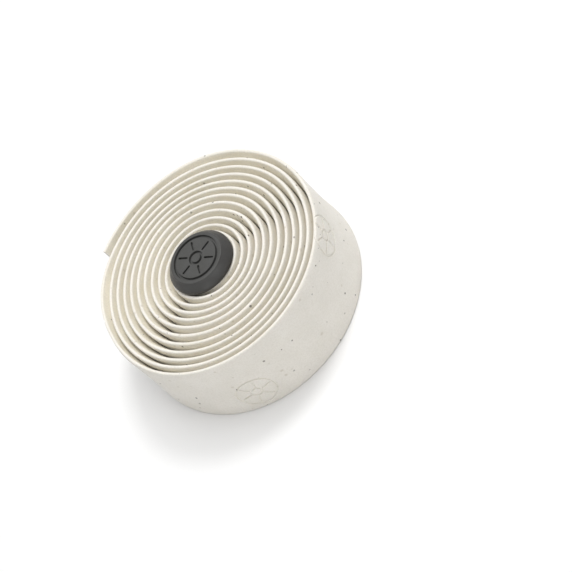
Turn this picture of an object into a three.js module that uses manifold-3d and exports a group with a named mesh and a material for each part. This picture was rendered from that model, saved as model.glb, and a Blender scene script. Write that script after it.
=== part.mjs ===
// Roll of handlebar tape with a bar-end plug pushed into its centre.
// Millimetres, +Z up. The roll lies flat on one end and the plug's head faces up.
// The origin is under the middle of the roll, on the surface that it lies on.

import * as THREE from 'three';
import { mergeVertices } from 'three/addons/utils/BufferGeometryUtils.js';
import Module from 'manifold-3d';

// Tape: a foam strip with both edges bevelled on the side that faces the handlebar
const TAPE_WIDTH = 30;
const TAPE_THICKNESS = 2.5;
const LIP_WIDTH = 0.8; // what the bevel leaves of the strip's edge
const LIP_CHAMFER = 0.25; // breaks the outer corner of the lip
const BEVEL_ANGLE = 74; // degrees between the bevel and the roll's end face

// Winding: the radius grows counter-clockwise, seen from above
const TURNS = 11.56;
const TURN_GAP = 0.21; // air left between one turn and the next
const STEPS_PER_TURN = 36;
const FREE_END_AZIMUTH = 112; // degrees, where the strip stops on the outside
const FREE_END_LIFT = 1.25; // how far the free end springs off the roll
const FREE_END_SPRING = 60; // degrees over which it springs off
const FLARE = 0.95; // how much further out the strip stands at its lower edge than at its upper edge

// Plug's head: a round button with a flared side
const HEAD_DIAMETER = 23.4;
const HEAD_HEIGHT = 4.05;
const HEAD_TOP_DIAMETER = 19.3;
const HEAD_TOP_CHAMFER = 0.35;
const HEAD_RIM_HEIGHT = 1.1; // widest line of the head, above its underside
const HEAD_RIM_UNDERCUT = 0.7; // how far the underside draws in from the rim
const HEAD_FLANK_BULGE = 0.25;
const HEAD_SEAT_CLEARANCE = 0.3; // between the head and the lips under it

// Wheel motif sunk in the top of the head
const RING_RADIUS = 7.9;
const HUB_RADIUS = 2.1;
const GROOVE_WIDTH = 0.55;
const GROOVE_DEPTH = 0.4;
const SPOKE_COUNT = 6;
const SPOKE_MARGIN = 1.1; // plain land between a spoke and the grooves at its ends

// Plug's barrel: a tube, open below, with crush ribs that grip what it is pushed into
const BARREL_LENGTH = 21;
const BARREL_DIAMETER = 12.4;
const BARREL_BORE = 8.2;
const BARREL_MOUTH_CHAMFER = 0.6;
const RIB_DIAMETER = 14.8;
const RIB_COUNT = 6;
const RIB_THICKNESS = 1.6;
const RIB_LEAD_IN = 4; // length of the slope at the lower end of a rib
const RIB_ROOT = 0.5; // how deep a rib reaches into the tube's wall
const RIB_END_GAP = 1.5; // bare tube below the ribs
const BORE_ROOF = 2.2; // solid left under the top face where the bore ends
const ROUND_STEPS = 48;

// The plug sits to one side in the open core, close to the innermost turn there
const PLUG_OFFSET_X = -0.9;
const PLUG_OFFSET_Y = 0.18;
const CORE_CLEARANCE = 0.3; // between the ribs and the innermost turn

const TURN = 2 * Math.PI;
const pitch = TAPE_THICKNESS + TURN_GAP;
const coreRadius = RIB_DIAMETER / 2 + Math.hypot(PLUG_OFFSET_X, PLUG_OFFSET_Y) + CORE_CLEARANCE;

const foam = new THREE.MeshStandardMaterial({ color: 0xe4e0d6, roughness: 0.85, metalness: 0 });
const plastic = new THREE.MeshStandardMaterial({ color: 0x3b3b3a, roughness: 0.5, metalness: 0 });

// Section of the strip, counter-clockwise: x is measured outwards from the outer face, y is the height
function stripSection() {
  const depth = (TAPE_THICKNESS - LIP_WIDTH) * Math.tan(THREE.MathUtils.degToRad(BEVEL_ANGLE));
  return [
    new THREE.Vector2(0, LIP_CHAMFER),
    new THREE.Vector2(0, TAPE_WIDTH - LIP_CHAMFER),
    new THREE.Vector2(-LIP_CHAMFER, TAPE_WIDTH),
    new THREE.Vector2(-LIP_WIDTH, TAPE_WIDTH),
    new THREE.Vector2(-TAPE_THICKNESS, TAPE_WIDTH - depth),
    new THREE.Vector2(-TAPE_THICKNESS, depth),
    new THREE.Vector2(-LIP_WIDTH, 0),
    new THREE.Vector2(-LIP_CHAMFER, 0),
  ];
}

// Radius of the strip's outer face at its upper edge, so many turns out from the inner end
function outerFaceRadius(turns) {
  const springTurns = FREE_END_SPRING / 360;
  const sprung = Math.max(1 - (TURNS - turns) / springTurns, 0);
  return coreRadius + TAPE_THICKNESS + pitch * turns + FREE_END_LIFT * sprung ** 2;
}

// The strip swept along its spiral, from the cut inner end to the cut free end
function tapeGeometry() {
  const section = stripSection();
  const count = section.length;
  const steps = Math.round(TURNS * STEPS_PER_TURN);
  const points = [];
  for (let step = 0; step <= steps; step += 1) {
    const turns = (TURNS * step) / steps;
    const angle = THREE.MathUtils.degToRad(FREE_END_AZIMUTH) - (TURNS - turns) * TURN;
    for (const corner of section) {
      const flare = FLARE * (1 - corner.y / TAPE_WIDTH);
      const radius = outerFaceRadius(turns) + flare + corner.x;
      points.push(radius * Math.cos(angle), radius * Math.sin(angle), corner.y);
    }
  }
  const faces = [];
  for (let step = 0; step < steps; step += 1) {
    for (let side = 0; side < count; side += 1) {
      const a = step * count + side;
      const b = step * count + ((side + 1) % count);
      faces.push(a, a + count, b + count, a, b + count, b);
    }
  }
  for (const [i, j, k] of THREE.ShapeUtils.triangulateShape(section, [])) {
    faces.push(i, j, k);
    faces.push(steps * count + i, steps * count + k, steps * count + j);
  }
  const geometry = new THREE.BufferGeometry();
  geometry.setAttribute('position', new THREE.Float32BufferAttribute(points, 3));
  geometry.setIndex(faces);
  return geometry;
}

// Head and tube in one revolved outline, up from the tube's mouth to the top face.
// Height 0 is the underside of the head.
function plugOutline() {
  const bore = BARREL_BORE / 2;
  const barrel = BARREL_DIAMETER / 2;
  const rim = HEAD_DIAMETER / 2;
  const top = HEAD_TOP_DIAMETER / 2;
  const shoulder = HEAD_HEIGHT - HEAD_TOP_CHAMFER;
  const bulge = 2 * HEAD_FLANK_BULGE;
  const flank = new THREE.Vector2((rim + top) / 2 + bulge, (HEAD_RIM_HEIGHT + shoulder) / 2 + bulge);
  const outline = new THREE.Path();
  outline.moveTo(0, HEAD_HEIGHT - BORE_ROOF);
  outline.lineTo(bore, HEAD_HEIGHT - BORE_ROOF);
  outline.lineTo(bore, BARREL_MOUTH_CHAMFER - BARREL_LENGTH);
  outline.lineTo(bore + BARREL_MOUTH_CHAMFER, -BARREL_LENGTH);
  outline.lineTo(barrel - BARREL_MOUTH_CHAMFER, -BARREL_LENGTH);
  outline.lineTo(barrel, BARREL_MOUTH_CHAMFER - BARREL_LENGTH);
  outline.lineTo(barrel, 0);
  outline.lineTo(rim - HEAD_RIM_UNDERCUT, 0);
  outline.quadraticCurveTo(rim, 0, rim, HEAD_RIM_HEIGHT);
  outline.quadraticCurveTo(flank.x, flank.y, top, shoulder);
  outline.lineTo(top - HEAD_TOP_CHAMFER, HEAD_HEIGHT);
  for (const radius of [RING_RADIUS, HUB_RADIUS]) {
    outline.lineTo(radius + GROOVE_WIDTH / 2, HEAD_HEIGHT);
    outline.lineTo(radius + GROOVE_WIDTH / 4, HEAD_HEIGHT - GROOVE_DEPTH);
    outline.lineTo(radius - GROOVE_WIDTH / 4, HEAD_HEIGHT - GROOVE_DEPTH);
    outline.lineTo(radius - GROOVE_WIDTH / 2, HEAD_HEIGHT);
  }
  outline.lineTo(0, HEAD_HEIGHT);
  return outline.getPoints(4);
}

// One crush rib, standing on the tube and sloped at its lower end
function ribGeometry() {
  const root = BARREL_DIAMETER / 2 - RIB_ROOT;
  const crest = RIB_DIAMETER / 2;
  const foot = RIB_END_GAP - BARREL_LENGTH;
  const side = new THREE.Shape();
  side.moveTo(root, foot);
  side.lineTo(BARREL_DIAMETER / 2, foot);
  side.lineTo(crest, foot + RIB_LEAD_IN);
  side.lineTo(crest, 0);
  side.lineTo(root, 0);
  const geometry = new THREE.ExtrudeGeometry(side, { depth: RIB_THICKNESS, bevelEnabled: false });
  geometry.translate(0, 0, -RIB_THICKNESS / 2);
  geometry.rotateX(Math.PI / 2);
  return geometry;
}

// A slot with round ends, from the hub's groove to the ring's groove, as deep as they are
function spokeGeometry() {
  const half = GROOVE_WIDTH / 2;
  const from = HUB_RADIUS + SPOKE_MARGIN + half;
  const to = RING_RADIUS - SPOKE_MARGIN - half;
  const slot = new THREE.Shape();
  slot.absarc(to, 0, half, -Math.PI / 2, Math.PI / 2, false);
  slot.absarc(from, 0, half, Math.PI / 2, -Math.PI / 2, false);
  const geometry = new THREE.ExtrudeGeometry(slot, {
    depth: 2 * GROOVE_DEPTH,
    bevelEnabled: false,
    curveSegments: 6,
  });
  geometry.translate(0, 0, HEAD_HEIGHT - GROOVE_DEPTH);
  return geometry;
}

const wasm = await Module();
wasm.setup();

function toSolid(geometry) {
  const bare = geometry.clone();
  bare.deleteAttribute('normal');
  bare.deleteAttribute('uv');
  const merged = mergeVertices(bare, 1e-4);
  const vertProperties = new Float32Array(merged.attributes.position.array);
  const triVerts = new Uint32Array(merged.index.array);
  return new wasm.Manifold(new wasm.Mesh({ numProp: 3, vertProperties, triVerts }));
}

function toGeometry(solid) {
  const mesh = solid.getMesh();
  const geometry = new THREE.BufferGeometry();
  geometry.setAttribute('position', new THREE.Float32BufferAttribute(mesh.vertProperties, 3));
  geometry.setIndex(new THREE.Uint32BufferAttribute(mesh.triVerts, 1));
  return geometry;
}

// The same shape, set round the axis so many times
function ringOf(geometry, count) {
  return Array.from({ length: count }, (_, i) => toSolid(geometry.clone().rotateZ((TURN * i) / count)));
}

function plugGeometry() {
  const lathe = new THREE.LatheGeometry(plugOutline(), ROUND_STEPS);
  lathe.rotateX(Math.PI / 2);
  let plug = toSolid(lathe);
  for (const rib of ringOf(ribGeometry(), RIB_COUNT)) plug = plug.add(rib);
  for (const spoke of ringOf(spokeGeometry(), SPOKE_COUNT)) plug = plug.subtract(spoke);
  return toGeometry(plug);
}

const tapeRoll = new THREE.Mesh(tapeGeometry(), foam);
tapeRoll.name = 'tape_roll';

const barEndPlug = new THREE.Mesh(plugGeometry(), plastic);
barEndPlug.name = 'bar_end_plug';
barEndPlug.position.set(PLUG_OFFSET_X, PLUG_OFFSET_Y, TAPE_WIDTH + HEAD_SEAT_CLEARANCE);

// The roll and its plug, moved so that the origin is under the middle of the roll
const handlebarTapeRoll = new THREE.Group();
handlebarTapeRoll.add(tapeRoll, barEndPlug);
const middle = new THREE.Box3().setFromObject(handlebarTapeRoll).getCenter(new THREE.Vector3());
handlebarTapeRoll.position.set(-middle.x, -middle.y, 0);

export default handlebarTapeRoll;
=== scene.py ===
# Roll of bevelled foam handlebar tape, wound as one strip, with a ribbed bar-end plug in its centre.
# Metres, +Z up. The roll lies flat on one end, and the camera looks down on it from its near side.

import math

import bmesh
import bpy
from mathutils import Matrix, Vector


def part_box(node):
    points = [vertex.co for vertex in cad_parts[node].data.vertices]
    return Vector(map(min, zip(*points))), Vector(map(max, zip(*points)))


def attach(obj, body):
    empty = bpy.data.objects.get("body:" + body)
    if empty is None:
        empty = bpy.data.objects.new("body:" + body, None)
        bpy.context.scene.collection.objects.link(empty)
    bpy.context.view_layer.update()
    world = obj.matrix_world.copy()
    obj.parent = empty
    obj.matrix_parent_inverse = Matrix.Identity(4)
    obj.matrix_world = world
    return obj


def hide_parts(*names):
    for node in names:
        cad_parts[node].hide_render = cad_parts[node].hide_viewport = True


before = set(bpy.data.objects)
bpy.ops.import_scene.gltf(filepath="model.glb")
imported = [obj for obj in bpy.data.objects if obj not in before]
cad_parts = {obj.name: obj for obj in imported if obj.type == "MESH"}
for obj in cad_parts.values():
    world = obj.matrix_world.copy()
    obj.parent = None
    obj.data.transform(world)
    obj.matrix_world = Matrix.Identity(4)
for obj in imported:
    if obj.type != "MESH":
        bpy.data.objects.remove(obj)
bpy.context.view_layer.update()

MM = 0.001
NEAR = 0.01 * MM

# Tape: a strip with both edges bevelled on the side that faces the handlebar
TAPE_WIDTH = 30 * MM
TAPE_THICKNESS = 2.5 * MM
LIP_WIDTH = 0.8 * MM
LIP_ROUNDING = 0.38 * MM
BEVEL_ANGLE = math.radians(74)
BEVEL_DEPTH = (TAPE_THICKNESS - LIP_WIDTH) * math.tan(BEVEL_ANGLE)
BEVEL_ROUNDNESS = 0.3 * MM
BEVEL_FOOT_ROUNDING = 0.5 * MM

# Cuts that let the strip curve: heights from either edge, and cuts along it, made in two passes
CUT_HEIGHTS = (0.7 * MM, 1.5 * MM, 3 * MM, 4.5 * MM, 7 * MM, 9.5 * MM, 15 * MM)
CUTS_ALONG = (15, 99)

# Winding, counter-clockwise and outwards, seen from above
TURNS = 11.78
PITCH = 2.71 * MM
CORE_RADIUS = 8.03 * MM
FREE_END_AZIMUTH = math.radians(112)
FREE_END_LIFT = 1.25 * MM
FREE_END_SPRING = 60 / 360
FLARE = 0.6 * MM
POINTS_PER_TURN = 240
PLUG_OFFSET = Vector((-0.9 * MM, 0.18 * MM))

# How the lips lean out and in along the strip, counted in turns from its free end: a long lean once a
# turn, which swells and fades, short ones that slip along by a little every turn, and a slow drift
LONG_LEAN = 0.3 * MM
LONG_LEAN_CREST = 0.13
LONG_LEAN_SWELL = 6.7
SHORT_LEAN = 0.09 * MM
SHORT_LEAN_SLIP = 0.05
LEAN_DRIFT = 0.1 * MM
LEAN_DRIFT_CREST = 4
LEAN_DRIFT_TURNS = 10
LEAN_REACH = 9 * MM

# The lower lip leans less, and in other places than the upper one
LOWER_LEAN = 0.5
LOWER_LEAN_SHIFT = TAPE_WIDTH

# The thin edges belly out a little and then curl in towards the core
CURL = 0.45 * MM
CURL_REACH = 2.5 * MM
BELLY_REACH = 14 * MM

# Where the loose outer turn's upper lip stands out further: turns from the free end, half length, size
BULGES = ((0.16, 0.15, 0.8 * MM), (0.94, 0.09, 0.85 * MM))

# Depth behind the outer face where the skived skin of the bevels starts, and where it is full
SKIVED_FROM = 0.75 * MM
SKIVED_BLEND = 0.5 * MM

# Wheel motif pressed into the outer face at even steps, low and high by turns; azimuths in degrees
PRESSED_WHEEL_COUNT = 4
PRESSED_FIRST_AZIMUTH = 34.2
PRESSED_AZIMUTH_STEP = -79.3
PRESSED_HEIGHTS = (9.5 * MM, 24.4 * MM)
PRESSED_RING_RADIUS = 6.7 * MM
PRESSED_HUB_RADIUS = 1.8 * MM
PRESSED_SPOKE_MIDDLE = 4.25 * MM
PRESSED_SPOKE_STRETCH = 1.5 * MM
PRESSED_SPOKE_TURN = 0.25
PRESSED_LINE_RADIUS = 0.38 * MM
PRESSED_DEPTH = 0.36 * MM

# Plug, measured from the underside of its head
HEAD_RIM = 11.7 * MM
HEAD_RIM_HEIGHT = 1.15 * MM
HEAD_RIM_ROUNDING = 0.45 * MM
HEAD_FLANK_BULGE = 0.22 * MM
HEAD_TOP = 9.65 * MM
HEAD_HEIGHT = 4.05 * MM
HEAD_CHAMFER = 0.3 * MM
HEAD_WALL = 2.2 * MM
SHOULDER_WIDTH = 0.4 * MM
RING_RADIUS = 7.9 * MM
HUB_RADIUS = 2.1 * MM
GROOVE_WIDTH = 1.0 * MM
GROOVE_DEPTH = 0.75 * MM
GROOVE_FLOOR = 0.32
SPOKE_MARGIN = 1.1 * MM
SPOKE_COUNT = 6
BARREL_LENGTH = 21 * MM
BARREL_RADIUS = 6.2 * MM
BARREL_CHAMFER = 0.6 * MM
BORE_RADIUS = 4.1 * MM
RIB_CREST = 7.4 * MM
RIB_WIDTH = 1.6 * MM
RIB_ROUNDING = 0.35 * MM
RIB_ROOT_DEPTH = 0.5 * MM
RIB_START = 1.5 * MM
RIB_LEAD = 4 * MM
RIB_COUNT = 6
MOULDED_EDGE = 0.08 * MM

plug_low, plug_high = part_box("bar_end_plug")
core = Vector(((plug_low.x + plug_high.x) / 2, (plug_low.y + plug_high.y) / 2))
axis = core - PLUG_OFFSET
head_underside = plug_high.z - HEAD_HEIGHT


# Hand tools

def start_clean():
    if bpy.context.object and bpy.context.object.mode != "OBJECT":
        bpy.ops.object.mode_set(mode="OBJECT")
    bpy.ops.object.select_all(action="DESELECT")


def hold(piece):
    start_clean()
    piece.select_set(True)
    bpy.context.view_layer.objects.active = piece


def edit(piece):
    hold(piece)
    bpy.ops.object.mode_set(mode="EDIT")


def pick(kind, wanted):
    bpy.ops.mesh.select_mode(type=kind)
    bpy.ops.mesh.select_all(action="DESELECT")
    data = bpy.context.edit_object.data
    mesh = bmesh.from_edit_mesh(data)
    items = {"VERT": mesh.verts, "EDGE": mesh.edges}[kind]
    for item in items:
        if wanted(item):
            item.select_set(True)
    mesh.select_flush_mode()
    bmesh.update_edit_mesh(data)


def cut_level(height):
    bpy.ops.mesh.select_all(action="SELECT")
    bpy.ops.mesh.bisect(plane_co=(0, 0, height), plane_no=(0, 0, 1))


def done(piece):
    bpy.ops.object.mode_set(mode="OBJECT")
    hold(piece)
    bpy.ops.object.transform_apply(location=True, rotation=True, scale=True)


def apply_modifier(piece, kind, **settings):
    hold(piece)
    modifier = piece.modifiers.new(kind.title(), kind)
    for name, value in settings.items():
        setattr(modifier, name, value)
    bpy.ops.object.modifier_apply(modifier=modifier.name)


def cut_with(piece, tool, operation="DIFFERENCE"):
    apply_modifier(piece, "BOOLEAN", object=tool, operation=operation, solver="EXACT")
    bpy.data.objects.remove(tool)


def finish_surface(piece, sharp_angle):
    edit(piece)
    bpy.ops.mesh.select_all(action="SELECT")
    bpy.ops.mesh.remove_doubles(threshold=0.002 * MM)
    bpy.ops.mesh.normals_make_consistent(inside=False)
    done(piece)
    bpy.ops.object.shade_smooth_by_angle(angle=math.radians(sharp_angle))


# Share from 0 to 1 that grows as value passes start, over the given width
def share_past(value, start, width):
    return min(max((value - start) / width, 0), 1)


# Winding path of the strip's outer face

def winding_point(turns):
    sprung = max(1 - (TURNS - turns) / FREE_END_SPRING, 0)
    radius = CORE_RADIUS + TAPE_THICKNESS + PITCH * turns + FREE_END_LIFT * sprung ** 2
    angle = FREE_END_AZIMUTH - (TURNS - turns) * math.tau
    return axis + Vector((radius * math.cos(angle), radius * math.sin(angle)))


def winding_curve():
    steps = round(TURNS * POINTS_PER_TURN)
    points = [winding_point(TURNS * step / steps) for step in range(steps + 1)]
    lengths = [0]
    for a, b in zip(points, points[1:]):
        lengths.append(lengths[-1] + (b - a).length)
    curve = bpy.data.curves.new("winding", "CURVE")
    curve.dimensions = "3D"
    curve.twist_mode = "Z_UP"
    spline = curve.splines.new("POLY")
    spline.points.add(len(points) - 1)
    for point, place in zip(spline.points, points):
        point.co = (place.x, place.y, 0, 1)
    path = bpy.data.objects.new("winding", curve)
    bpy.context.scene.collection.objects.link(path)
    return path, lengths


# How far along the strip an azimuth of the outer turn lies
def distance_at(azimuth, lengths):
    turns = TURNS - (FREE_END_AZIMUTH - math.radians(azimuth)) / math.tau
    place = turns / TURNS * (len(lengths) - 1)
    low = int(place)
    return lengths[low] + (lengths[low + 1] - lengths[low]) * (place - low)


# Turns wound up to a distance along the strip
def turns_at(distance):
    inner = CORE_RADIUS + TAPE_THICKNESS
    return (math.sqrt(inner ** 2 + PITCH * distance / math.pi) - inner) / PITCH


# Strip, modelled flat: along +X from the inner end, outer face at y = 0, inner face at y = thickness

def flat_strip(length):
    start_clean()
    bpy.ops.mesh.primitive_cube_add(
        size=1,
        location=(length / 2, TAPE_THICKNESS / 2, TAPE_WIDTH / 2),
        scale=(length, TAPE_THICKNESS, TAPE_WIDTH),
    )
    strip = bpy.context.object
    strip.name = "foam_tape"
    done(strip)

    def at_lip(vertex):
        return not NEAR < vertex.co.z < TAPE_WIDTH - NEAR

    def lengthwise(edge):
        return abs(edge.verts[0].co.x - edge.verts[1].co.x) > length / 2

    def on_inner_face(vertex):
        return abs(vertex.co.y - TAPE_THICKNESS) < NEAR

    edit(strip)
    for height in (BEVEL_DEPTH, TAPE_WIDTH - BEVEL_DEPTH):
        cut_level(height)
    pick("VERT", lambda v: v.co.y > NEAR and at_lip(v))
    bpy.ops.transform.translate(value=(0, LIP_WIDTH - TAPE_THICKNESS, 0))
    pick("EDGE", lambda e: lengthwise(e) and at_lip(e.verts[0]))
    bpy.ops.mesh.bevel(offset=LIP_ROUNDING, segments=4, affect="EDGES")
    pick("EDGE", lambda e: lengthwise(e) and on_inner_face(e.verts[0]))
    bpy.ops.mesh.bevel(offset=BEVEL_FOOT_ROUNDING, segments=3, affect="EDGES")
    for height in CUT_HEIGHTS:
        for level in {height, TAPE_WIDTH - height}:
            cut_level(level)
    for cuts in CUTS_ALONG:
        pick("EDGE", lambda e: abs(e.verts[0].co.x - e.verts[1].co.x) > NEAR)
        bpy.ops.mesh.subdivide(number_cuts=cuts)
    done(strip)
    return strip


# The knife leaves the bevels slightly rounded, most of all near the lip
def round_bevels(strip):
    for vertex in strip.data.vertices:
        depth = min(vertex.co.z, TAPE_WIDTH - vertex.co.z) / BEVEL_DEPTH
        if 0 < depth < 1:
            straight = LIP_WIDTH + (TAPE_THICKNESS - LIP_WIDTH) * depth
            share = min(vertex.co.y / straight, 1)
            vertex.co.y += BEVEL_ROUNDNESS * math.sin(math.pi * depth ** 0.6) * share


# Stamp that presses the wheel motif into the outer face at a place on the flat strip

def stamp_ring(x, z, radius, segments):
    start_clean()
    bpy.ops.mesh.primitive_torus_add(
        location=(x, PRESSED_DEPTH - PRESSED_LINE_RADIUS, z),
        rotation=(math.pi / 2, 0, 0),
        major_radius=radius,
        minor_radius=PRESSED_LINE_RADIUS,
        major_segments=segments,
        minor_segments=16,
    )
    return bpy.context.object


def stamp_spoke(x, z, angle):
    start_clean()
    bpy.ops.mesh.primitive_uv_sphere_add(segments=16, ring_count=12, radius=PRESSED_LINE_RADIUS)
    spoke = bpy.context.object
    edit(spoke)
    pick("VERT", lambda v: v.co.z > NEAR)
    bpy.ops.transform.translate(value=(0, 0, PRESSED_SPOKE_STRETCH))
    pick("VERT", lambda v: v.co.z < -NEAR)
    bpy.ops.transform.translate(value=(0, 0, -PRESSED_SPOKE_STRETCH))
    done(spoke)
    place = (
        x + PRESSED_SPOKE_MIDDLE * math.sin(angle),
        PRESSED_DEPTH - PRESSED_LINE_RADIUS,
        z + PRESSED_SPOKE_MIDDLE * math.cos(angle),
    )
    spoke.matrix_world = Matrix.Translation(place) @ Matrix.Rotation(angle, 4, "Y")
    return spoke


def wheel_stamp(x, z):
    parts = [stamp_ring(x, z, PRESSED_RING_RADIUS, 96), stamp_ring(x, z, PRESSED_HUB_RADIUS, 48)]
    for number in range(SPOKE_COUNT):
        parts.append(stamp_spoke(x, z, math.tau * (number + PRESSED_SPOKE_TURN) / SPOKE_COUNT))
    start_clean()
    for part in parts:
        part.select_set(True)
    bpy.context.view_layer.objects.active = parts[0]
    bpy.ops.object.join()
    stamp = bpy.context.object
    done(stamp)
    return stamp


# Share of the bevel's skived skin, from none on the outer face to full on the inner one
def mark_skived(strip):
    skived = strip.data.attributes.new("skived", "FLOAT", "POINT")
    for vertex, item in zip(strip.data.vertices, skived.data):
        item.value = share_past(vertex.co.y, SKIVED_FROM, SKIVED_BLEND)


# The strip flares towards its lower edge, and its lips lean in and out in long uneven waves

def wave(turns):
    return math.cos(math.tau * turns)


def lean_of(distance):
    turns = TURNS - turns_at(distance)
    long_lean = LONG_LEAN * wave(turns - LONG_LEAN_CREST) * wave(turns / LONG_LEAN_SWELL)
    twice, thrice, four_times = (wave((count - SHORT_LEAN_SLIP) * turns) for count in (2, 3, 4))
    short_lean = SHORT_LEAN * (thrice + four_times - twice)
    drift = LEAN_DRIFT * wave((turns - LEAN_DRIFT_CREST) / LEAN_DRIFT_TURNS)
    return long_lean + short_lean + drift


def bulge_of(distance):
    turns = TURNS - turns_at(distance)
    return sum(
        size * math.cos(math.pi / 2 * (turns - middle) / half) ** 2
        for middle, half, size in BULGES
        if abs(turns - middle) < half
    )


def lean_lips(strip):
    middle = TAPE_WIDTH / 2
    for vertex in strip.data.vertices:
        along, height = vertex.co.x, vertex.co.z
        depth = middle - abs(height - middle)
        vertex.co.y -= FLARE * (1 - height / TAPE_WIDTH)
        vertex.co.y -= CURL * max(1 - depth / BELLY_REACH, 0) ** 2
        vertex.co.y += CURL * max(1 - depth / CURL_REACH, 0) ** 2
        if depth < LEAN_REACH:
            if height > middle:
                lean = lean_of(along) + bulge_of(along)
            else:
                lean = LOWER_LEAN * lean_of(along + LOWER_LEAN_SHIFT)
            vertex.co.y -= lean * (1 - depth / LEAN_REACH) ** 2


def wound_tape():
    path, lengths = winding_curve()
    strip = flat_strip(lengths[-1])
    round_bevels(strip)
    for number in range(PRESSED_WHEEL_COUNT):
        azimuth = PRESSED_FIRST_AZIMUTH + PRESSED_AZIMUTH_STEP * number
        cut_with(strip, wheel_stamp(distance_at(azimuth, lengths), PRESSED_HEIGHTS[number % 2]))
    mark_skived(strip)
    lean_lips(strip)
    apply_modifier(strip, "CURVE", object=path, deform_axis="POS_X")
    bpy.data.objects.remove(path)
    finish_surface(strip, sharp_angle=30)
    return strip


# Plug

# Points of a smooth curve from a to c that bends towards b, without a itself
def quadratic(a, b, c, steps):
    return [
        tuple(
            (1 - t) ** 2 * p + 2 * t * (1 - t) * q + t * t * r
            for p, q, r in zip(a, b, c)
        )
        for t in (step / steps for step in range(1, steps + 1))
    ]


# Radius and height of each turned edge, from the bore's closed end round to the middle of the top
def plug_outline():
    rim = (HEAD_RIM, HEAD_RIM_HEIGHT)
    shoulder = (HEAD_TOP, HEAD_HEIGHT - HEAD_CHAMFER)
    flank_pull = tuple((a + b) / 2 + HEAD_FLANK_BULGE for a, b in zip(rim, shoulder))
    shoulder_pull = (HEAD_TOP - SHOULDER_WIDTH / 4, HEAD_HEIGHT)
    outline = [
        (BORE_RADIUS, HEAD_HEIGHT - HEAD_WALL),
        (BORE_RADIUS, BARREL_CHAMFER - BARREL_LENGTH),
        (BORE_RADIUS + BARREL_CHAMFER, -BARREL_LENGTH),
        (BARREL_RADIUS - BARREL_CHAMFER, -BARREL_LENGTH),
        (BARREL_RADIUS, BARREL_CHAMFER - BARREL_LENGTH),
        (BARREL_RADIUS, 0),
        (HEAD_RIM - HEAD_RIM_ROUNDING, 0),
    ]
    outline += quadratic(outline[-1], (HEAD_RIM, 0), (HEAD_RIM, HEAD_RIM_ROUNDING), 5)
    outline.append(rim)
    outline += quadratic(rim, flank_pull, shoulder, 8)
    outline += quadratic(shoulder, shoulder_pull, (HEAD_TOP - SHOULDER_WIDTH, HEAD_HEIGHT), 4)
    groove = ((0.5, 0), (GROOVE_FLOOR, GROOVE_DEPTH), (-GROOVE_FLOOR, GROOVE_DEPTH), (-0.5, 0))
    for radius in (RING_RADIUS, HUB_RADIUS):
        for side, depth in groove:
            outline.append((radius + side * GROOVE_WIDTH, HEAD_HEIGHT - depth))
    return outline


def turned_plug():
    outline = plug_outline()
    radius, height = outline[0]
    start_clean()
    bpy.ops.mesh.primitive_circle_add(vertices=120, radius=radius, location=(0, 0, height))
    plug = bpy.context.object
    plug.name = "ribbed_plug"
    done(plug)
    edit(plug)
    bpy.ops.mesh.select_all(action="SELECT")
    for wider, higher in outline[1:]:
        bpy.ops.mesh.extrude_region_move(TRANSFORM_OT_translate={"value": (0, 0, higher - height)})
        growth = wider / radius
        bpy.ops.transform.resize(value=(growth, growth, 1), center_override=(0, 0, higher))
        radius, height = wider, higher
    bpy.ops.mesh.edge_face_add()
    pick("EDGE", lambda e: e.is_boundary)
    bpy.ops.mesh.edge_face_add()
    bpy.ops.mesh.select_all(action="SELECT")
    bpy.ops.mesh.normals_make_consistent(inside=False)
    done(plug)
    return plug


def ring_of(piece, count):
    edit(piece)
    bpy.ops.mesh.select_all(action="SELECT")
    for _ in range(count - 1):
        bpy.ops.mesh.duplicate()
        bpy.ops.transform.rotate(value=math.tau / count, orient_axis="Z", center_override=(0, 0, 0))
    done(piece)
    return piece


def crush_ribs():
    root = BARREL_RADIUS - RIB_ROOT_DEPTH
    foot = RIB_START - BARREL_LENGTH
    start_clean()
    bpy.ops.mesh.primitive_cube_add(
        size=1,
        location=((root + RIB_CREST) / 2, 0, foot / 2),
        scale=(RIB_CREST - root, RIB_WIDTH, -foot),
    )
    rib = bpy.context.object
    done(rib)

    def on_long_corner(edge):
        outside = all(vertex.co.x > BARREL_RADIUS - NEAR for vertex in edge.verts)
        return outside and abs(edge.verts[0].co.y - edge.verts[1].co.y) < NEAR

    edit(rib)
    cut_level(foot + RIB_LEAD)
    pick("VERT", lambda v: v.co.x > RIB_CREST - NEAR and v.co.z < foot + NEAR)
    bpy.ops.transform.translate(value=(BARREL_RADIUS - RIB_CREST, 0, 0))
    pick("EDGE", on_long_corner)
    bpy.ops.mesh.bevel(offset=RIB_ROUNDING, segments=4, affect="EDGES")
    done(rib)
    return ring_of(rib, RIB_COUNT)


def spoke_slots():
    sides = 24
    half = GROOVE_WIDTH / 2
    inner = HUB_RADIUS + SPOKE_MARGIN + half
    outer = RING_RADIUS - SPOKE_MARGIN - half
    start_clean()
    bpy.ops.mesh.primitive_cylinder_add(
        vertices=sides,
        radius=half / math.cos(math.pi / sides),
        depth=2 * GROOVE_DEPTH,
        location=(inner, 0, HEAD_HEIGHT),
        rotation=(0, 0, math.pi / sides),
    )
    slot = bpy.context.object
    done(slot)
    edit(slot)
    pick("VERT", lambda v: v.co.x > inner)
    bpy.ops.transform.translate(value=(outer - inner, 0, 0))
    pick("VERT", lambda v: v.co.z < HEAD_HEIGHT)
    bpy.ops.transform.resize(value=(1, 0.5, 1), center_override=(0, 0, HEAD_HEIGHT - GROOVE_DEPTH))
    done(slot)
    return ring_of(slot, SPOKE_COUNT)


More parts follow.
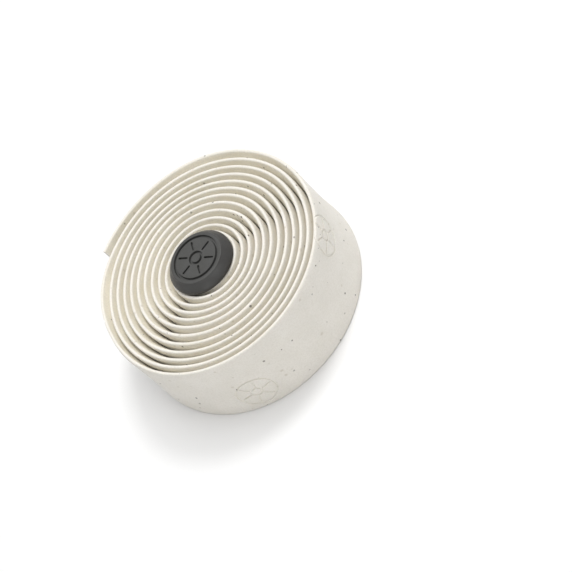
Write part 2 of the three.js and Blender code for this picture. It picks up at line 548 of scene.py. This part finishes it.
# Share of polished mould surface, whose colour is also painted darker as shade: full on the flank and
# the barrel, none on the textured top
def mark_polished_and_shaded(plug):
    polished_and_shaded = plug.data.attributes.new("polished_and_shaded", "FLOAT", "POINT")
    for vertex, item in zip(plug.data.vertices, polished_and_shaded.data):
        radius = (vertex.co.to_2d() - core).length
        item.value = share_past(radius, HEAD_TOP - SHOULDER_WIDTH, SHOULDER_WIDTH)


def ribbed_plug():
    plug = turned_plug()
    cut_with(plug, crush_ribs(), "UNION")
    cut_with(plug, spoke_slots())
    apply_modifier(
        plug, "BEVEL", width=MOULDED_EDGE, segments=2, limit_method="ANGLE", angle_limit=math.radians(32)
    )
    plug.location = (core.x, core.y, head_underside)
    done(plug)
    finish_surface(plug, sharp_angle=35)
    mark_polished_and_shaded(plug)
    return plug


# Materials: sizes of patterns are in millimetres

def new_material(name):
    material = bpy.data.materials.new(name)
    material.use_nodes = True
    nodes, links = material.node_tree.nodes, material.node_tree.links
    nodes.clear()
    output = nodes.new("ShaderNodeOutputMaterial")
    shader = nodes.new("ShaderNodeBsdfPrincipled")
    links.new(shader.outputs["BSDF"], output.inputs["Surface"])
    return material, nodes, links, shader


def srgb(red, green, blue):
    def linear(value):
        value /= 255
        return value / 12.92 if value <= 0.04045 else ((value + 0.055) / 1.055) ** 2.4
    return linear(red), linear(green), linear(blue), 1


def share_of(nodes, name):
    node = nodes.new("ShaderNodeAttribute")
    node.attribute_name = name
    return node.outputs["Fac"]


def noise(nodes, links, place, size, detail=2, roughness=0.5):
    node = nodes.new("ShaderNodeTexNoise")
    node.inputs["Scale"].default_value = 1 / (size * MM)
    node.inputs["Detail"].default_value = detail
    node.inputs["Roughness"].default_value = roughness
    links.new(place, node.inputs["Vector"])
    return node.outputs["Fac"]


def ranged(nodes, links, value, low, high, to_low=0, to_high=1):
    node = nodes.new("ShaderNodeMapRange")
    node.interpolation_type = "SMOOTHSTEP"
    for name, number in (("From Min", low), ("From Max", high), ("To Min", to_low), ("To Max", to_high)):
        node.inputs[name].default_value = number
    links.new(value, node.inputs["Value"])
    return node.outputs["Result"]


def combined(nodes, links, operation, *values):
    node = nodes.new("ShaderNodeMath")
    node.operation = operation
    for socket, value in zip(node.inputs, values):
        if isinstance(value, (int, float)):
            socket.default_value = value
        else:
            links.new(value, socket)
    return node.outputs["Value"]


def tinted(nodes, links, amount, under, over):
    node = nodes.new("ShaderNodeMix")
    node.data_type = "RGBA"
    links.new(amount, node.inputs["Factor"])
    for socket, value in ((node.inputs["A"], under), (node.inputs["B"], over)):
        if isinstance(value, tuple):
            socket.default_value = value
        else:
            links.new(value, socket)
    return node.outputs["Result"]


def bumped(nodes, links, shader, height, strength, distance):
    node = nodes.new("ShaderNodeBump")
    node.inputs["Strength"].default_value = strength
    node.inputs["Distance"].default_value = distance * MM
    links.new(height, node.inputs["Height"])
    links.new(node.outputs["Normal"], shader.inputs["Normal"])


# Place pushed about a little, so that flecks get ragged edges
def frayed(nodes, links, place, size, reach):
    ragged = nodes.new("ShaderNodeTexNoise")
    ragged.inputs["Scale"].default_value = 1 / (size * MM)
    links.new(place, ragged.inputs["Vector"])
    push = nodes.new("ShaderNodeVectorMath")
    push.operation = "MULTIPLY_ADD"
    push.inputs[1].default_value = (reach * MM,) * 3
    links.new(ragged.outputs["Color"], push.inputs[0])
    links.new(place, push.inputs[2])
    return push.outputs["Vector"]


# Flecks are small balls scattered in the foam, seen where the surface slices them
def flecks(nodes, links, place, cell, share, small, large, soft):
    cells = nodes.new("ShaderNodeTexVoronoi")
    cells.inputs["Scale"].default_value = 1 / (cell * MM)
    links.new(place, cells.inputs["Vector"])
    split = nodes.new("ShaderNodeSeparateColor")
    links.new(cells.outputs["Color"], split.inputs["Color"])
    size = ranged(nodes, links, split.outputs["Red"], 1 - share, 1, small / cell, large / cell)
    inside = combined(nodes, links, "SUBTRACT", size, cells.outputs["Distance"])
    disc = ranged(nodes, links, inside, -soft / cell, soft / cell)
    present = combined(nodes, links, "GREATER_THAN", split.outputs["Red"], 1 - share)
    return combined(nodes, links, "MULTIPLY", disc, present), split.outputs["Green"]


def foam_material():
    material, nodes, links, shader = new_material("speckled_foam")
    place = nodes.new("ShaderNodeTexCoord").outputs["Object"]
    cloud = ranged(nodes, links, noise(nodes, links, place, size=9, detail=3), low=0.3, high=0.7)
    mottle = noise(nodes, links, place, size=0.6, detail=3, roughness=0.75)
    blotch = ranged(nodes, links, mottle, low=0.36, high=0.68, to_high=0.4)

    skin = tinted(nodes, links, cloud, srgb(238, 234, 226), srgb(233, 229, 220))
    cut = tinted(nodes, links, cloud, srgb(244, 239, 224), srgb(241, 235, 218))
    base = tinted(nodes, links, share_of(nodes, "skived"), skin, cut)
    base = tinted(nodes, links, blotch, base, srgb(218, 213, 202))

    ragged = frayed(nodes, links, place, size=0.45, reach=0.35)
    faint, _ = flecks(nodes, links, ragged, cell=3.4, share=0.7, small=0.15, large=0.55, soft=0.2)
    faint = combined(nodes, links, "MULTIPLY", faint, 0.3)
    base = tinted(nodes, links, faint, base, srgb(176, 164, 140))
    dark, tone = flecks(nodes, links, ragged, cell=3.7, share=0.75, small=0.15, large=0.45, soft=0.07)
    strength = ranged(nodes, links, tone, low=0, high=1, to_low=0.45)
    dark = combined(nodes, links, "MULTIPLY", dark, strength)
    base = tinted(nodes, links, dark, base, srgb(66, 52, 38))
    links.new(base, shader.inputs["Base Color"])

    roughness = ranged(nodes, links, mottle, low=0.3, high=0.7, to_low=0.62, to_high=0.74)
    links.new(roughness, shader.inputs["Roughness"])
    shader.inputs["Specular IOR Level"].default_value = 0.35
    shader.inputs["Sheen Weight"].default_value = 0.08
    shader.inputs["Sheen Roughness"].default_value = 0.6
    shader.inputs["Subsurface Weight"].default_value = 0.12
    shader.inputs["Subsurface Radius"].default_value = (1.0, 0.9, 0.7)
    shader.inputs["Subsurface Scale"].default_value = 0.6 * MM

    grain = noise(nodes, links, place, size=0.36, detail=3, roughness=0.7)
    soft = noise(nodes, links, place, size=1.6)
    height = combined(nodes, links, "MULTIPLY_ADD", soft, 1.4, grain)
    bumped(nodes, links, shader, height, strength=0.9, distance=0.04)
    return material


def plastic_material():
    material, nodes, links, shader = new_material("moulded_plastic")
    place = nodes.new("ShaderNodeTexCoord").outputs["Object"]
    cloud = ranged(nodes, links, noise(nodes, links, place, size=5, detail=3), low=0.3, high=0.7)
    grain = noise(nodes, links, place, size=0.16, roughness=0.6)
    speckle = ranged(nodes, links, grain, low=0.45, high=0.75, to_high=0.5)
    polished_and_shaded = share_of(nodes, "polished_and_shaded")

    textured = tinted(nodes, links, cloud, srgb(66, 66, 65), srgb(60, 60, 58))
    textured = tinted(nodes, links, speckle, textured, srgb(86, 86, 84))
    # Painted shade: the flank and the barrel get a darker colour than the top, while their lower
    # roughness is the real polished finish
    smooth_shaded = tinted(nodes, links, cloud, srgb(64, 64, 63), srgb(57, 56, 55))
    links.new(tinted(nodes, links, polished_and_shaded, textured, smooth_shaded), shader.inputs["Base Color"])

    roughness = ranged(nodes, links, polished_and_shaded, low=0, high=1, to_low=0.5, to_high=0.4)
    uneven = ranged(nodes, links, grain, low=0.3, high=0.7, to_low=-0.05, to_high=0.05)
    links.new(combined(nodes, links, "ADD", roughness, uneven), shader.inputs["Roughness"])
    shader.inputs["IOR"].default_value = 1.5
    shader.inputs["Specular IOR Level"].default_value = 0.3
    bumped(nodes, links, shader, grain, strength=0.5, distance=0.012)
    return material


# White surface that the roll lies on
def table_material():
    material, _, _, shader = new_material("white_table")
    shader.inputs["Base Color"].default_value = (0.9, 0.9, 0.9, 1)
    shader.inputs["Roughness"].default_value = 0.9
    shader.inputs["Specular IOR Level"].default_value = 0.1
    return material


# Pieces

tape = wound_tape()
tape.data.materials.clear()
tape.data.materials.append(foam_material())
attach(tape, "root")
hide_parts("tape_roll")

plug = ribbed_plug()
plug.data.materials.clear()
plug.data.materials.append(plastic_material())
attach(plug, "root")
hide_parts("bar_end_plug")

start_clean()
bpy.ops.mesh.primitive_plane_add(size=6)
table = bpy.context.object
table.name = "table_top"
table.data.materials.append(table_material())


# Light: a pale room, which looks white to the camera and in reflections, and soft lamps

def background(nodes, strength):
    node = nodes.new("ShaderNodeBackground")
    node.inputs["Color"].default_value = (1, 1, 1, 1)
    node.inputs["Strength"].default_value = strength
    return node.outputs["Background"]


def pale_room(strength):
    world = bpy.data.worlds.new("pale_room")
    world.use_nodes = True
    nodes, links = world.node_tree.nodes, world.node_tree.links
    nodes.clear()
    output = nodes.new("ShaderNodeOutputWorld")
    rays = nodes.new("ShaderNodeLightPath").outputs
    shown = combined(nodes, links, "MAXIMUM", rays["Is Camera Ray"], rays["Is Transmission Ray"])
    shown = combined(nodes, links, "MAXIMUM", shown, rays["Is Glossy Ray"])
    mix = nodes.new("ShaderNodeMixShader")
    links.new(shown, mix.inputs["Fac"])
    links.new(background(nodes, strength), mix.inputs[1])
    links.new(background(nodes, 1), mix.inputs[2])
    links.new(mix.outputs["Shader"], output.inputs["Surface"])
    return world


def soft_lamp(name, place, size, power):
    lamp = bpy.data.lights.new(name, "AREA")
    lamp.shape = "DISK"
    lamp.size = size
    lamp.energy = power
    light = bpy.data.objects.new(name, lamp)
    bpy.context.scene.collection.objects.link(light)
    light.location = place
    light.rotation_euler = (-Vector(place)).to_track_quat("-Z", "Y").to_euler()


bpy.context.scene.world = pale_room(strength=0.25)
soft_lamp("key_lamp", place=(0.62, 0.2, 1.1), size=0.4, power=6.4)
soft_lamp("top_lamp", place=(0.1, 0.1, 1.4), size=1.0, power=10.2)
soft_lamp("front_lamp", place=(0.15, -0.9, 1.1), size=1.0, power=2.9)
soft_lamp("low_lamp", place=(-0.9, -0.9, 0.35), size=0.7, power=2.2)


# Camera: it looks down from the near side at a point on the table, and is rolled with the photograph

VIEW_AZIMUTH = math.radians(83)
VIEW_ELEVATION = math.radians(48.26)
VIEW_ROLL = math.radians(-47.16)
VIEW_DISTANCE = 0.65539
view_point = Vector((core.x + 0.01227, core.y - 0.00797, 0))

lens = bpy.data.cameras.new("camera")
lens.sensor_width = 36
lens.lens = 123.37
lens.clip_start = 0.05
lens.clip_end = 20
camera = bpy.data.objects.new("camera", lens)
bpy.context.scene.collection.objects.link(camera)
camera.matrix_world = (
    Matrix.Translation(view_point)
    @ Matrix.Rotation(VIEW_AZIMUTH - math.pi / 2, 4, "Z")
    @ Matrix.Rotation(math.pi / 2 - VIEW_ELEVATION, 4, "X")
    @ Matrix.Rotation(VIEW_ROLL, 4, "Z")
    @ Matrix.Translation((0, 0, VIEW_DISTANCE))
)
bpy.context.scene.camera = camera
bpy.context.scene.view_settings.view_transform = "Standard"

bpy.context.view_layer.update()
